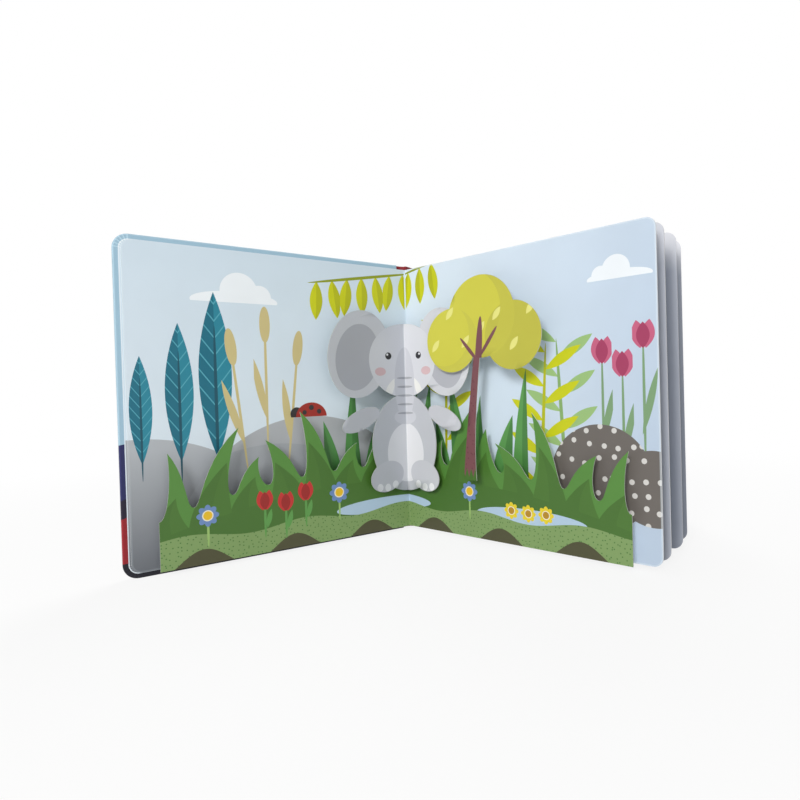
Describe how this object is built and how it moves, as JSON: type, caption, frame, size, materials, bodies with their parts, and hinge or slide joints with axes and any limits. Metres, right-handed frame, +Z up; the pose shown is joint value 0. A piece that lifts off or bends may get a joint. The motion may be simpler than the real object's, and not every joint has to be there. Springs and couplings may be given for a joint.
{
  "type": "pop-up book",
  "caption": "Square board pop-up book standing open at a spread, with a folded card figure, tree and grass bank before its pages and two hinged covers.",
  "frame": {"origin": "under the middle of the whole book as it stands, on the surface that the covers stand on", "axes": "+Z up along the spine, +X to the reader's right, -Y towards the reader"},
  "size_m": [0.3362, 0.1326, 0.186],
  "materials": {
    "cover_wrap": "satin",
    "spine_wrap": "satin",
    "page": "satin",
    "grass_card": "satin",
    "grey_card": "satin",
    "tree_card": "satin",
    "white_card": "matte"
  },
  "bodies": {
    "block": {"leaf_block": "page", "spine_board": "spine_wrap", "ground_strip": "grass_card", "figure": "grey_card", "figure_strut_right": "white_card", "tree": "tree_card", "tree_strut": "white_card"},
    "front_cover": {"front_cover": "cover_wrap", "left_page": "page", "front_joint": "spine_wrap", "figure_strut_left": "white_card"},
    "back_cover": {"back_cover": "cover_wrap", "back_page": "page", "back_joint": "spine_wrap"}
  },
  "joints": [
    {"name": "front_cover_hinge", "type": "hinge", "parent": "block", "child": "front_cover", "pos_m": [-0.02329, 0.04872, 0.093], "axis": [0, 0, -1], "range_deg": [-99, 78], "deforming": ["ground_strip", "figure", "figure_strut_left", "figure_strut_right", "tree", "tree_strut", "front_joint"]},
    {"name": "back_cover_hinge", "type": "hinge", "parent": "block", "child": "back_cover", "pos_m": [-0.01565, 0.06278, 0.093], "axis": [0, 0, 1], "range_deg": [-18, 136], "deforming": ["back_joint"]}
  ]
}
